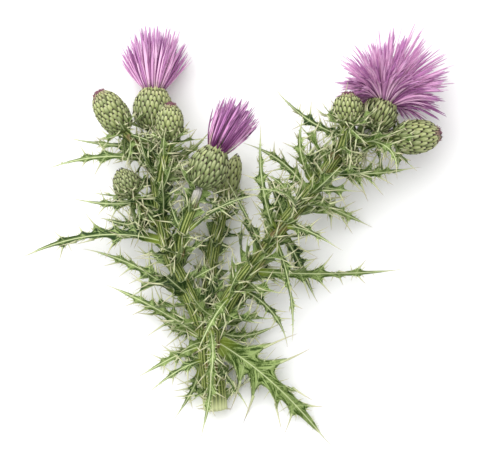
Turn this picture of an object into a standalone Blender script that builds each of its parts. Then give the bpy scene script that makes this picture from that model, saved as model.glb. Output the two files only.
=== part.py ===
"""A cut spray of thistle, lying on a table.

Frame: metres, +Z up, the table is the plane z = 0. The spray lies flat: its cut end points to -Y, its flower
heads to +Y, and the origin is under the middle of its bounding box. Every place below is in millimetres in
the spray's own plan, and the whole spray is moved onto the origin at the end.
"""

import math

import bpy
import numpy as np
from mathutils import Vector

MM = 0.001

# Driving sizes, in millimetres.
STEM_RADIUS = 5.2
HEAD_RADIUS = 9.0
BUD_RADIUS = 7.0
FLORET_LENGTH = 24.0
LEAF_THICKNESS = 0.7
JOINT_GAP = 0.4

# How finely the round and the long pieces are divided.
STEM_STEP = 7.0
STEM_BEVEL_RESOLUTION = 3
STALK_BEVEL_RESOLUTION = 2
HEAD_SIDES = 14
BUD_SIDES = 12

# Leaf blades: where the lobes sit along the midrib, and the blade between them.
LOBES_START = 0.10
LOBES_END = 0.80
LOBE_SWEEP = 0.55
WAIST_SHARE = 0.30
TIP_HALF_WIDTH = 0.3

COLOURS = {
    "stem": ((0.33, 0.42, 0.14, 1.0), 0.6),
    "leaf": ((0.13, 0.27, 0.09, 1.0), 0.55),
    "bracts": ((0.30, 0.42, 0.16, 1.0), 0.6),
    "florets": ((0.56, 0.22, 0.52, 1.0), 0.7),
}

# Centrelines as (x, y, z), with the radius at the start and at the end.
STEMS = {
    "main_stem": (
        [(-10, -77, 5.4), (-11, -64, 8), (-12.5, -51, 12), (-12.5, -40.5, 15.5)],
        0.96 * STEM_RADIUS,
        0.88 * STEM_RADIUS,
    ),
    "left_stem": (
        [
            (-16.6, -38.6, 17.6), (-19, -32, 19), (-23.5, -22, 21), (-28.5, -12, 22.5), (-31.5, -2, 23.5),
            (-33.5, 9, 24), (-35, 20, 22.6), (-35.5, 30, 20.4), (-36.5, 38, 17.8), (-37.2, 43.4, 16.5),
        ],
        0.60 * STEM_RADIUS,
        0.42 * STEM_RADIUS,
    ),
    "middle_stem": (
        [(-25.2, -9.5, 28), (-24.5, -1, 31.5), (-20.5, 9, 35), (-17, 18.6, 37.6)],
        0.44 * STEM_RADIUS,
        0.40 * STEM_RADIUS,
    ),
    "back_stem": (
        [(-12.4, -37.8, 10.6), (-13, -27.5, 9.5), (-12, -15, 9), (-10, -3.5, 8.6), (-7.5, 7, 8.6), (-6.2, 14.6, 8.8)],
        0.52 * STEM_RADIUS,
        0.44 * STEM_RADIUS,
    ),
    "right_stem": (
        [
            (-8.2, -38.6, 17.6), (-5, -30.5, 20), (0.5, -22, 22), (7, -13.5, 24), (12.5, -6, 25.5),
            (18.5, 2.5, 26.5), (25, 10.5, 27), (31.5, 18, 27.5), (37, 25.5, 28), (42, 33, 28),
            (48, 38.5, 27.6), (53.5, 41, 27.2), (56.6, 43.2, 27),
        ],
        0.62 * STEM_RADIUS,
        0.44 * STEM_RADIUS,
    ),
    "left_bud_stalk": ([(-39.4, 33.0, 22.8), (-43.5, 38.2, 24.6), (-48.1, 42.9, 25.6)], 1.7, 1.9),
    "front_bud_stalk": ([(-33.8, 22.4, 28.2), (-32, 30.5, 30.8), (-29.8, 38.8, 32)], 1.8, 1.8),
    "small_bud_stalk": ([(-38.8, 8.2, 25.2), (-41.8, 12, 26), (-45.1, 15.2, 27)], 1.6, 1.7),
    "round_bud_stalk": ([(43.4, 34.8, 33.4), (45.2, 40, 34.8), (46.3, 45.2, 36)], 1.8, 1.9),
    "long_bud_stalk": ([(54.6, 37.2, 26.4), (60, 38.8, 26), (65.8, 39.9, 26)], 1.9, 2.0),
}

# Flower heads: base of the green cup, middle of its mouth, cup radius, mouth radius, then the floret brush as
# its reach along the axis, its widest radius, and how far up that widest place is as a share of the reach.
HEADS = {
    "left": ((-37.3, 44.4, 16.4), (-36.6, 63, 14.9), 1.0, 0.62, FLORET_LENGTH, 13.6, 0.42),
    "middle": ((-16.4, 19.6, 38), (-8.2, 36.6, 39.6), 1.03, 0.62, 0.9 * FLORET_LENGTH, 10.6, 0.46),
    "right": ((57.0, 44.2, 27), (63.8, 57.0, 26.4), 0.87, 0.68, 1.22 * FLORET_LENGTH, 26.2, 0.12),
}

# Buds: base, tip, radius as a share of BUD_RADIUS.
BUDS = {
    "left_bud": ((-48.6, 43.5, 25.8), (-60, 60, 26), 1.02),
    "front_bud": ((-29.6, 39.6, 32), (-28.8, 54.6, 33), 0.90),
    "small_bud": ((-45.6, 15.8, 27), (-50.4, 26.4, 28), 0.86),
    "back_bud": ((-6.0, 15.4, 8.8), (-0.6, 33.0, 9.4), 0.95),
    "round_bud": ((46.5, 46.0, 36), (47, 58.6, 37), 0.93),
    "long_bud": ((66.6, 40, 26), (86.2, 42.6, 26), 1.08),
    "side_bud": ((45.4, 29.8, 31.4), (52.6, 33.2, 33), 0.48),
}

# Leaves: the stem that each grows from, how far along it (0 to 1), the tip, how far the midrib bows away from
# a straight line at its middle, the reach of the longest lobe, the number of lobe pairs, and the roll of the
# blade about its midrib in degrees, where 0 faces up.
LEAVES = {
    "leaf_left_long": ("left_stem", 0.80, (-78.5, 29, 21), (0, 2.6, 0), 5.5, 3, 25),
    "leaf_left_upper": ("left_stem", 0.90, (-70, 40.5, 10), (0, -1, 0), 4.0, 2, -30),
    "leaf_by_small_bud": ("left_stem", 0.62, (-67.5, 14, 17), (0, -2, -2), 5.0, 3, 20),
    "leaf_left_big": ("left_stem", 0.44, (-91, -9, 1.6), (0, 4.6, 4), 8.5, 5, 30),
    "leaf_left_lower": ("left_stem", 0.20, (-62.5, -8, 9), (0, 1.5, 2), 6.5, 4, -25),
    "leaf_lower_left": ("main_stem", 0.88, (-53.5, -24.5, 5), (0, 0.5, 2), 7.5, 5, 10),
    "leaf_foot_left_dark": ("main_stem", 0.70, (-40, -61, 3), (0, 1.5, 1), 5.5, 3, 10),
    "leaf_foot_left": ("main_stem", 0.58, (-35.5, -66.5, 17), (0, 1.5, 3), 4.5, 2, 40),
    "leaf_foot_down_left": ("main_stem", 0.42, (-25.5, -78, 4), (0, 1, 0), 4.5, 3, -20),
    "leaf_foot_front": ("main_stem", 0.66, (-15, -84, 17), (1.5, 0, 3), 5.0, 3, 0),
    "leaf_foot_right": ("main_stem", 0.52, (2.5, -73, 14), (0.5, 1, 2), 5.0, 3, 35),
    "leaf_big_right": ("main_stem", 0.74, (36, -88, 1.4), (2.5, 2.5, 3), 17.0, 4, 8),
    "leaf_dark_right": ("main_stem", 0.90, (14.5, -41.5, 6), (0, -2.5, 0), 6.0, 3, -10),
    "leaf_spike_low": ("right_stem", 0.16, (20.5, -45, 14), (3, 1, 2), 4.5, 3, 30),
    "leaf_spike_high": ("right_stem", 0.36, (23.5, -42, 31), (2.5, 0, 3), 4.5, 3, 40),
    "leaf_right_long": ("right_stem", 0.24, (66.5, -16.5, 9), (0, -1.6, -2), 7.5, 5, 25),
    "leaf_right_mid": ("right_stem", 0.44, (39.5, -4.5, 36), (0, 1, 2), 5.0, 3, 15),
    "leaf_behind_right": ("right_stem", 0.56, (54.5, 4.5, 5), (0, 0, 1), 6.5, 4, -15),
    "leaf_right_upper": ("right_stem", 0.70, (72.5, 27.5, 20), (0, -2, 0), 8.0, 5, -18),
    "leaf_under_long_bud": ("right_stem", 0.93, (67.5, 28.5, 36), (3, 2, 2), 5.5, 3, 30),
    "leaf_upper_left": ("right_stem", 0.84, (19, 58.5, 24), (-1, -2, 0), 5.5, 4, 30),
    "leaf_upright": ("right_stem", 0.62, (27, 46, 31), (-3, 0, 2), 6.0, 4, 20),
    "leaf_upright_side": ("right_stem", 0.58, (7.5, 37, 22), (1, 2, -1), 6.0, 3, -20),
    "leaf_tall_front": ("right_stem", 0.40, (9.5, 40, 44), (-2.5, 0, 5), 6.0, 4, 10),
    "leaf_arched_front": ("right_stem", 0.47, (5, 18, 56), (7, 3, 4), 4.5, 3, 60),
    "leaf_inner_high": ("right_stem", 0.50, (12.5, 24.5, 31), (1, 2, 0), 4.5, 3, 30),
    "leaf_inner_low": ("right_stem", 0.33, (-3, 19.5, 27), (1, -2, 2), 4.5, 3, -30),
    "leaf_by_front_bud": ("left_stem", 0.78, (-14, 41.5, 25), (1, -2, 0), 5.0, 3, 20),
    "leaf_arched_left": ("left_stem", 0.68, (-19, 31, 26), (0, 3, 2), 4.5, 3, 50),
    "leaf_crossing": ("middle_stem", 0.50, (5, 15.5, 40), (0, 1.5, 0), 4.0, 3, 25),
    "leaf_fork_front": ("right_stem", 0.10, (-15.5, -46.5, 33), (0, 2, 3), 5.0, 2, 0),
    "leaf_fork_low_front": ("main_stem", 0.97, (-11.5, -60, 28), (1, 0, 4), 4.5, 2, 0),
    "leaf_under_left": ("left_stem", 0.52, (-58, 6, 1.2), (0, -2, 3), 6.5, 4, 0),
    "leaf_under_head": ("left_stem", 0.74, (-14, 19, 1.2), (0, 3, 2), 5.5, 3, 0),
    "leaf_under_right": ("right_stem", 0.40, (33, -27, 1.2), (0, 2, 2), 6.5, 4, 0),
    "leaf_under_middle": ("right_stem", 0.66, (40, 40, 1.2), (-3, 0, 2), 6.0, 4, 0),
    "leaf_under_fork": ("main_stem", 0.94, (-34, -38, 1.2), (0, -3, 0), 5.0, 3, 0),
}


def material(slot):
    """The plain material of one finish, made once."""
    if slot in bpy.data.materials:
        return bpy.data.materials[slot]
    made = bpy.data.materials.new(slot)
    made.use_nodes = True
    colour, roughness = COLOURS[slot]
    shader = made.node_tree.nodes["Principled BSDF"]
    shader.inputs["Base Color"].default_value = colour
    shader.inputs["Roughness"].default_value = roughness
    made.diffuse_color = colour
    return made


def add_object(name, data, slot, spray, location=(0, 0, 0)):
    """A named object at a place in the spray, whose root empty carries it."""
    made = bpy.data.objects.new(name, data)
    data.materials.append(material(slot))
    made.location = Vector(location) * MM
    made.parent = spray
    bpy.data.collections["thistle_spray"].objects.link(made)
    return made


def smooth_route(points):
    """A centripetal-free Catmull-Rom curve through hand-chosen points, as an array at even parameter steps."""
    p = np.array(points, float)
    p = np.vstack([2 * p[0] - p[1], p, 2 * p[-1] - p[-2]])
    length = np.linalg.norm(np.diff(p[1:-1], axis=0), axis=1).sum()
    count = max(4, round(length / STEM_STEP) + 1)
    route = []
    for s in np.linspace(0, len(points) - 1, count):
        i = min(int(s), len(points) - 2)
        u = s - i
        a, b, c, d = p[i : i + 4]
        route.append(
            0.5 * (2 * b + (c - a) * u + (2 * a - 5 * b + 4 * c - d) * u**2 + (3 * b - a - 3 * c + d) * u**3)
        )
    return np.array(route)


def add_stem(name, points, start_radius, end_radius, spray):
    """A tapering round tube along a smooth route, with flat ends."""
    route = smooth_route(points)
    curve = bpy.data.curves.new(name, "CURVE")
    curve.dimensions = "3D"
    curve.bevel_depth = start_radius * MM
    curve.bevel_resolution = STEM_BEVEL_RESOLUTION if start_radius > 2 else STALK_BEVEL_RESOLUTION
    curve.use_fill_caps = True
    spline = curve.splines.new("POLY")
    spline.points.add(len(route) - 1)
    for i, (point, place) in enumerate(zip(spline.points, route)):
        share = i / (len(route) - 1)
        point.co = (*(place - route[0]) * MM, 1)
        point.radius = 1 + share * (end_radius / start_radius - 1)
    return add_object(name, curve, "stem", spray, route[0])


def add_turned(name, profile, base, tip, sides, slot, spray):
    """A turned solid: a profile of (radius, height) from top to bottom, spun about the line from base to tip."""
    mesh = bpy.data.meshes.new(name)
    vertices = [(radius * MM, 0, height * MM) for radius, height in profile]
    mesh.from_pydata(vertices, [(i, i + 1) for i in range(len(vertices) - 1)], [])
    made = add_object(name, mesh, slot, spray, base)
    axis = Vector(tip) - Vector(base)
    made.rotation_mode = "QUATERNION"
    made.rotation_quaternion = axis.to_track_quat("Z", "Y")
    screw = made.modifiers.new("Turn", "SCREW")
    screw.axis = "Z"
    screw.steps = screw.render_steps = sides
    screw.use_merge_vertices = True
    screw.merge_threshold = 0.0001
    screw.use_smooth_shade = True
    return made


def cup_profile(length, radius, mouth):
    """The green cup of a head: an egg cut off at the mouth, with a small flat seat on the stem."""
    seat = math.acos(0.24)
    angles = np.linspace(math.acos(mouth / radius), -seat, 8)
    rise = np.sin(angles) + math.sin(seat)
    return [(0, length), *zip(radius * np.cos(angles), length * rise / rise[0]), (0, 0)]


def brush_profile(length, radius, mouth, widest):
    """The floret brush: it leaves the mouth narrow, flares to its widest and ends in a low dome."""
    rise = np.linspace(0, 1, 4)
    side = [(mouth + (radius - mouth) * share**0.85, widest * length * share**1.1) for share in rise]
    dome_heights = widest + (1 - widest) * np.sin(np.radians([25, 50, 72]))
    dome_radii = radius * np.cos(np.radians([25, 50, 72]))
    dome = list(zip(dome_radii, dome_heights * length))
    return [(0, length), *reversed(dome), *reversed(side), (0, 0)]


def bud_profile(length, radius):
    """A closed bud: an egg, a little fuller below its middle, with a small flat seat on its stalk."""
    seat = math.acos(0.28)
    angles = np.linspace(math.radians(68), -seat, 8)
    rise = np.sin(angles) + math.sin(seat)
    shares = (rise / (1 + math.sin(seat))) ** 1.12
    return [(0, length), *zip(radius * np.cos(angles), length * shares), (0, 0)]


def add_heads(spray):
    for name, (base, mouth_at, cup_share, mouth_share, reach, widest_radius, widest) in HEADS.items():
        base, mouth_at = Vector(base), Vector(mouth_at)
        axis = (mouth_at - base).normalized()
        length = (mouth_at - base).length
        radius = HEAD_RADIUS * cup_share
        mouth = radius * mouth_share
        add_turned(f"{name}_cup", cup_profile(length, radius, mouth), base, mouth_at, HEAD_SIDES, "bracts", spray)
        start = mouth_at + axis * JOINT_GAP
        brush = brush_profile(reach, widest_radius, 0.95 * mouth, widest)
        add_turned(f"{name}_florets", brush, start, start + axis, HEAD_SIDES, "florets", spray)


def add_buds(spray):
    for name, (base, tip, share) in BUDS.items():
        profile = bud_profile((Vector(tip) - Vector(base)).length, BUD_RADIUS * share)
        add_turned(name, profile, base, tip, BUD_SIDES, "bracts", spray)


def place_on_stem(stem, share):
    """The centre, direction and radius of a stem at a share of its route."""
    points, start_radius, end_radius = STEMS[stem]
    route = smooth_route(points)
    s = share * (len(route) - 1)
    i = min(int(s), len(route) - 2)
    centre = route[i] + (route[i + 1] - route[i]) * (s - i)
    direction = route[i + 1] - route[i]
    return centre, direction / np.linalg.norm(direction), start_radius + (end_radius - start_radius) * share


def unit(vector):
    return vector / np.linalg.norm(vector)


def leaf_stations(pairs):
    """Where the blade is cut across along the midrib: (share, is it a lobe) from the base to the tip."""
    stations = [(0.0, False)]
    for i in range(pairs):
        start = LOBES_START + (LOBES_END - LOBES_START) * i / pairs
        stations += [(start, False), (start + 0.55 * (LOBES_END - LOBES_START) / pairs, True)]
    return stations + [(LOBES_END, False), (1.0, False)]


def leaf_cage(stem, share, tip, bow, reach, pairs, roll):
    """The middle surface of a blade as rows of left edge, midrib and right edge.

    The midrib is a quadratic curve from the stem's surface to the tip. The lobes are longest a third of the
    way out and sweep forward, and nothing reaches below the table.
    """
    centre, direction, stem_radius = place_on_stem(stem, share)
    tip = np.array(tip, float)
    bend = (centre + tip) / 2 + 2 * np.array(bow, float)
    outward = bend - centre
    outward = unit(outward - direction * (outward @ direction))
    base = centre + outward * (stem_radius + JOINT_GAP + 0.8)
    rows = []
    for t, is_lobe in leaf_stations(pairs):
        place = (1 - t) ** 2 * base + 2 * t * (1 - t) * bend + t**2 * tip
        along = unit(2 * (1 - t) * (bend - base) + 2 * t * (tip - bend))
        flat = unit(np.cross([0, 0, 1], along))
        up = np.cross(along, flat)
        angle = math.radians(roll)
        side = flat * math.cos(angle) + up * math.sin(angle)
        lobe_reach = reach * (0.45 + 1.9 * t - 2.6 * t**2)
        waist = reach * WAIST_SHARE * (1 - 0.6 * t)
        if t == 1:
            half, forward = TIP_HALF_WIDTH, 0
        elif is_lobe:
            half, forward = lobe_reach, LOBE_SWEEP * lobe_reach
        else:
            half, forward = (min(waist, 1.0) if t == 0 else waist), 0
        rows.append([place + side * half + along * forward, place, place - side * half + along * forward])
    cage = np.array(rows)
    cage[:, :, 2] = np.maximum(cage[:, :, 2], 0.6 * LEAF_THICKNESS)
    return cage


def add_leaf(name, spec, spray):
    """A lobed blade: two strips of faces either side of the midrib, given its thickness by Solidify."""
    cage = leaf_cage(*spec)
    base = cage[0, 1]
    vertices = (cage - base).reshape(-1, 3) * MM
    faces = []
    for row in range(len(cage) - 1):
        for column in range(2):
            corner = 3 * row + column
            faces.append((corner, corner + 3, corner + 4, corner + 1))
    mesh = bpy.data.meshes.new(name)
    mesh.from_pydata(vertices.tolist(), [], faces)
    made = add_object(name, mesh, "leaf", spray, base)
    solidify = made.modifiers.new("Thickness", "SOLIDIFY")
    solidify.thickness = LEAF_THICKNESS * MM
    solidify.offset = 0
    return made


def lowest_and_highest(objects):
    """The corners of the box round the evaluated objects, in world coordinates."""
    bpy.context.view_layer.update()
    graph = bpy.context.evaluated_depsgraph_get()
    places = []
    for item in objects:
        evaluated = item.evaluated_get(graph)
        mesh = evaluated.to_mesh()
        places += [evaluated.matrix_world @ vertex.co for vertex in mesh.vertices]
        evaluated.to_mesh_clear()
    places = np.array(places)
    return places.min(axis=0), places.max(axis=0)


def main():
    for item in list(bpy.data.objects):
        bpy.data.objects.remove(item)
    collection = bpy.data.collections.new("thistle_spray")
    bpy.context.scene.collection.children.link(collection)
    spray = bpy.data.objects.new("spray_root", None)
    collection.objects.link(spray)
    for name, (points, start_radius, end_radius) in STEMS.items():
        add_stem(name, points, start_radius, end_radius, spray)
    add_heads(spray)
    add_buds(spray)
    for name, spec in LEAVES.items():
        add_leaf(name, spec, spray)
    lowest, highest = lowest_and_highest([item for item in collection.objects if item.type != "EMPTY"])
    middle = (lowest + highest) / 2
    spray.location = (-middle[0], -middle[1], -lowest[2])


main()
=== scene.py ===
"""A cut flowering spray of thistle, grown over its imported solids.

Every stem, leaf, cup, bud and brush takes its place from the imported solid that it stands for. Lengths are
in millimetres in the numpy work and become metres when a mesh is made. A surface is always a grid of
points: rows run along the piece and columns run round it. Each point carries a few named marks, such as how
near it is to a vein or a point, and the materials read those marks.
"""

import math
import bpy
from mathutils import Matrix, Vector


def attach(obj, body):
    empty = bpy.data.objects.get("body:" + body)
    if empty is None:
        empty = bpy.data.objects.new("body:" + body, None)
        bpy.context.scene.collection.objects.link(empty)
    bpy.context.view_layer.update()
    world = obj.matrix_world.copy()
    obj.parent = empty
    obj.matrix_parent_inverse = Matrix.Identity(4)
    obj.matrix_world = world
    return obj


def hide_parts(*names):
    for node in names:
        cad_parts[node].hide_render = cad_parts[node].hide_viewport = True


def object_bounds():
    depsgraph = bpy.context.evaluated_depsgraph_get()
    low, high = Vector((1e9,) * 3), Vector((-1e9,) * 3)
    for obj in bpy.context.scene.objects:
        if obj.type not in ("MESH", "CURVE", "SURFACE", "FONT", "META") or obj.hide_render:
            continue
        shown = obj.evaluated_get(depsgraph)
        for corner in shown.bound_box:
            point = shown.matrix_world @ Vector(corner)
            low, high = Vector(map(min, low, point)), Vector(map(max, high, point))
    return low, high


bl_info = {
    "name": "Thistle Spray",
    "version": (1, 0, 0),
    "blender": (4, 5, 0),
    "location": "3D View > Sidebar > Thistle",
    "description": "Grows the stems, spiny leaves, scaly buds and florets of a cut thistle spray",
    "category": "Add Mesh",
}

import bpy
import numpy as np
from bpy.props import FloatProperty, FloatVectorProperty, IntProperty, PointerProperty

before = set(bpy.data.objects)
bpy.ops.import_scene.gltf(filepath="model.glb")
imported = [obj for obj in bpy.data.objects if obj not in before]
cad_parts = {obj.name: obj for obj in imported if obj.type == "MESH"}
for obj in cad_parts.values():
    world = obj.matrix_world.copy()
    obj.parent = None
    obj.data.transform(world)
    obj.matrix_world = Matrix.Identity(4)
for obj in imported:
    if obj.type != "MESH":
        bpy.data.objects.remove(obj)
PACKED_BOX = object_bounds()

UP = np.array([0.0, 0.0, 1.0])
MM = 1000.0  # millimetres in a metre
END_ROW = 0.95  # mm: corners this near to the end of a packed leaf make its last row
STEM_STEP = 1.6  # mm from ring to ring of a grown stem
PRESS = 0.3  # mm: how softly what would reach into the table is pressed onto it
CLEARANCE = 1.5  # mm: a small leaf whose tip would come nearer to the table is left out
# in a wider brush the feet of the outer florets take more of the plum painted shade
NARROW = 0.8  # radians: a brush that leans less than this shows the pale feet of its florets

# Where the random numbers of each kind of piece start. A piece adds its own place in the list.
SEEDS = {"stem": 40, "stalk": 60, "leaf": 100, "head": 200, "brush": 300}

STALKS = ["left_bud_stalk", "front_bud_stalk", "small_bud_stalk", "round_bud_stalk", "long_bud_stalk"]

# What each cup and bud grows on.
CUPS = {"left_cup": "left_stem", "middle_cup": "middle_stem", "right_cup": "right_stem"}
BRUSHES = {"left_florets": "left_cup", "middle_florets": "middle_cup", "right_florets": "right_cup"}
BUDS = {
    "left_bud": "left_bud_stalk",
    "front_bud": "front_bud_stalk",
    "small_bud": "small_bud_stalk",
    "back_bud": "back_stem",
    "round_bud": "round_bud_stalk",
    "long_bud": "long_bud_stalk",
    "side_bud": "right_stem",
}


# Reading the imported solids


def unit(vectors):
    """The vectors, each at length 1."""
    return vectors / np.maximum(np.linalg.norm(vectors, axis=-1, keepdims=True), 1e-12)


def welded(node):
    """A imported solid's corners in millimetres and its triangles, joined where they meet."""
    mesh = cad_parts[node].data
    places = np.empty(len(mesh.vertices) * 3)
    mesh.vertices.foreach_get("co", places)
    mesh.calc_loop_triangles()
    corners = np.empty(len(mesh.loop_triangles) * 3, np.int64)
    mesh.loop_triangles.foreach_get("vertices", corners)
    places = places.reshape(-1, 3) * MM
    _, first, index = np.unique(np.round(places, 2), axis=0, return_index=True, return_inverse=True)
    return places[first], index.reshape(-1)[corners].reshape(-1, 3)


def layers(count, faces, start):
    """Sets of corners: first the start, then always the corners one edge further away."""
    joined = np.zeros((count, count), bool)
    for one, other in ((0, 1), (1, 2), (2, 0)):
        joined[faces[:, one], faces[:, other]] = True
        joined[faces[:, other], faces[:, one]] = True
    ring, reached = start, start
    while ring.any():
        yield ring
        ring = joined[ring].any(axis=0) & ~reached
        reached = reached | ring


def blade_rows(node):
    """The middle surface of a packed leaf as (rows, 3, 3): left edge, midrib and right edge, from its base.

    The base and the tip are the two ends that are furthest apart, and the corners stand closer at the tip.
    Each row is one edge further from the tip. In a row the corners stand in three groups across it.
    """
    points, faces = welded(node)
    apart = np.linalg.norm(points[:, None] - points[None], axis=2)
    ends = np.unravel_index(apart.argmax(), apart.shape)
    tip = max(ends, key=lambda end: (apart[end] < END_ROW).sum())
    rows, side = [], np.zeros(3)
    for ring in layers(len(points), faces, apart[tip] < END_ROW):
        corners = points[ring]
        middle = corners.mean(axis=0)
        if not rows:
            rows.append([middle, middle, middle])
            continue
        pair = np.unravel_index(apart[np.ix_(ring, ring)].argmax(), (len(corners), len(corners)))
        direction = corners[pair[0]] - corners[pair[1]]
        if direction @ side < 0:
            direction = -direction
        side = unit(direction)
        level = (corners - middle) @ side
        left, right = corners[level > 0.5 * level.max()], corners[level < 0.5 * level.min()]
        between = corners[(level <= 0.5 * level.max()) & (level >= 0.5 * level.min())]
        midrib = between if len(between) else corners
        rows.append([left.mean(axis=0), midrib.mean(axis=0), right.mean(axis=0)])
    rows = np.array(rows[::-1])
    along = rows[-1, 1] - rows[0, 1]
    if np.cross(along, (rows[:, 0] - rows[:, 2]).sum(axis=0))[2] < 0:
        rows = rows[:, ::-1]
    return rows


def tube_rings(node):
    """The centre and radius of each ring of a packed stem, from its thicker end.

    The flat end face gives the first ring, and each further ring is one edge further away.
    """
    points, faces = welded(node)
    middle = points.mean(axis=0)
    axis = np.linalg.svd(points - middle, full_matrices=False)[2][0]
    corners = points[faces]
    normals = unit(np.cross(corners[:, 1] - corners[:, 0], corners[:, 2] - corners[:, 0]))
    reach = (corners.mean(axis=1) - middle) @ axis
    facing = np.where(reach < np.quantile(reach, 0.3), -(normals @ axis), -2)
    cap = facing.argmax()
    level = ((corners - corners[cap, 0]) @ normals[cap]).max(axis=1)
    flat = (normals @ normals[cap] > 0.999) & (np.abs(level) < 0.02)
    start = np.zeros(len(points), bool)
    start[faces[flat].ravel()] = True
    centres, radii = [], []
    for ring in layers(len(points), faces, start):
        centres.append(points[ring].mean(axis=0))
        radii.append(np.linalg.norm(points[ring] - centres[-1], axis=1).mean())
    centres, radii = np.array(centres), np.array(radii)
    if radii[0] < radii[-1]:
        return centres[::-1], radii[::-1]
    return centres, radii


def turned_rings(node, near):
    """A packed turned solid as its base point, its axis, and its heights and radii from the end near a place.

    The corners of a turned solid spread equally in the two directions square to its axis, so the axis is the
    direction whose spread differs most from the other two.
    """
    points = welded(node)[0]
    middle = points.mean(axis=0)
    spread, directions = np.linalg.eigh(np.cov((points - middle).T))
    axis = directions[:, 2] if spread[1] / spread[0] < spread[2] / spread[1] else directions[:, 0]
    if (near - middle) @ axis > 0:
        axis = -axis
    heights = (points - middle) @ axis
    radii = np.linalg.norm(points - middle - heights[:, None] * axis, axis=1)
    order = np.argsort(heights)
    rings = np.split(order, np.flatnonzero(np.diff(heights[order]) > 0.2) + 1)
    base = middle + axis * heights.min()
    heights = np.array([heights[ring].mean() for ring in rings]) - heights.min()
    return base, axis, heights, np.array([radii[ring].max() for ring in rings])


# Curves and frames


def through(values, where):
    """A Catmull-Rom curve through rows of values, read at fractional row numbers."""
    values = np.vstack([2 * values[0] - values[1], values, 2 * values[-1] - values[-2]])
    i = np.clip(np.floor(where).astype(int), 0, len(values) - 4)
    u = (where - i)[:, None]
    a, b, c, d = (values[i + k] for k in range(4))
    return 0.5 * (2 * b + (c - a) * u + (2 * a - 5 * b + 4 * c - d) * u**2 + (3 * b - a - 3 * c + d) * u**3)


def polynomial(shares, values, degree):
    """The best polynomial of that degree through rows of values at the given shares, as a function of
    share."""
    table = np.polynomial.polynomial.polyfit(shares, values, degree)
    return lambda t: np.moveaxis(np.polynomial.polynomial.polyval(t, table), 0, -1)


def across(axis):
    """Two directions square to an axis and to each other, the first level with the table."""
    level = unit(np.cross(axis, UP) + np.array([1e-6, 0, 0]))
    return level, unit(np.cross(level, axis))


def route_of(node, before, after):
    """A stem's centres and radii at about even steps, run on past its two ends, and the way travelled to
    each."""
    centres, radii = tube_rings(node)
    spacing = np.linalg.norm(np.diff(centres, axis=0), axis=1).mean()
    rows = through(
        np.column_stack([centres, radii]), np.arange(0, len(centres) - 1 + 1e-6, STEM_STEP / spacing)
    )
    first, last = rows[0].copy(), rows[-1].copy()
    first[:3] += unit(rows[0, :3] - rows[1, :3]) * before
    last[:3] += unit(rows[-1, :3] - rows[-2, :3]) * after
    rows = np.vstack([first, rows, last])
    travelled = np.r_[0, np.cumsum(np.linalg.norm(np.diff(rows[:, :3], axis=0), axis=1))]
    return rows[:, :3], rows[:, 3], travelled


# Growing meshes


class Growth:
    """Grids of points gathered into one mesh, with the same named marks on every point."""

    MARKS = ("across", "edge", "vein", "spine", "along", "tint", "under", "height", "flush")

    def __init__(self):
        self.points, self.faces, self.marks, self.size = [], [], {name: [] for name in self.MARKS}, 0

    def add(self, points, start_pole=True, end_pole=True, **marks):
        """Takes points as (copies, rows, columns, 3). Columns close into a ring, and a pole draws a whole row
        into its first point. A grid that would turn out inside out has its triangles reversed."""
        copies, rows, columns = points.shape[:3]
        index = np.arange(rows * columns).reshape(rows, columns)
        if start_pole:
            points[:, 0] = points[:, 0].mean(axis=1, keepdims=True)
            index[0] = index[0, 0]
        if end_pole:
            points[:, -1] = points[:, -1].mean(axis=1, keepdims=True)
            index[-1] = index[-1, 0]
        index = np.column_stack([index, index[:, 0]])
        a, b, c, d = index[:-1, :-1], index[1:, :-1], index[1:, 1:], index[:-1, 1:]
        faces = np.stack([[a, b, c], [a, c, d]]).transpose(0, 2, 3, 1).reshape(-1, 3)
        kept = (faces[:, 0] != faces[:, 1]) & (faces[:, 1] != faces[:, 2]) & (faces[:, 2] != faces[:, 0])
        faces = faces[kept]
        flat = points.reshape(copies, rows * columns, 3)
        corners = (flat - flat.mean(axis=1, keepdims=True))[:, faces]
        volume = np.einsum("kij,kij->k", corners[:, :, 0], np.cross(corners[:, :, 1], corners[:, :, 2]))
        starts = self.size + np.arange(copies)[:, None, None] * rows * columns
        outward = np.where((volume < 0)[:, None, None], faces[None, :, ::-1], faces[None])
        self.points.append(flat.reshape(-1, 3))
        self.faces.append((outward + starts).reshape(-1, 3))
        for name in self.MARKS:
            value = np.broadcast_to(marks.get(name, 0.0), (copies, rows, columns))
            self.marks[name].append(np.array(value, np.float32).reshape(-1))
        self.size += copies * rows * columns

    def mesh(self, name, material):
        """Makes the mesh, without the points that no triangle uses.

        What would reach into the table is pressed flat onto it: a height z becomes a ln(1 + exp(z / a)).
        """
        faces = np.concatenate(self.faces)
        used, faces = np.unique(faces, return_inverse=True)
        points = np.concatenate(self.points)[used]
        points[:, 2] = PRESS * np.logaddexp(0, points[:, 2] / PRESS)
        points = points / MM
        mesh = bpy.data.meshes.new(name)
        mesh.vertices.add(len(points))
        mesh.vertices.foreach_set("co", points.astype(np.float32).ravel())
        mesh.loops.add(faces.size)
        mesh.loops.foreach_set("vertex_index", faces.ravel().astype(np.int32))
        mesh.polygons.add(faces.size // 3)
        mesh.polygons.foreach_set("loop_start", np.arange(0, faces.size, 3, dtype=np.int32))
        mesh.update(calc_edges=True)
        mesh.polygons.foreach_set("use_smooth", np.ones(faces.size // 3, bool))
        for mark, values in self.marks.items():
            attribute = mesh.attributes.new(mark, "FLOAT", "POINT")
            attribute.data.foreach_set("value", np.concatenate(values)[used])
        if mesh.validate():
            raise RuntimeError(f"{name} has faces that a mesh can't hold")
        mesh.materials.append(material)
        return mesh

    def build(self, name, material, nodes):
        """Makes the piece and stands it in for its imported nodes."""
        piece = bpy.data.objects.new(name, self.mesh(name, material))
        bpy.context.scene.collection.objects.link(piece)
        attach(piece, "root")
        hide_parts(*nodes)
        return piece


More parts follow.
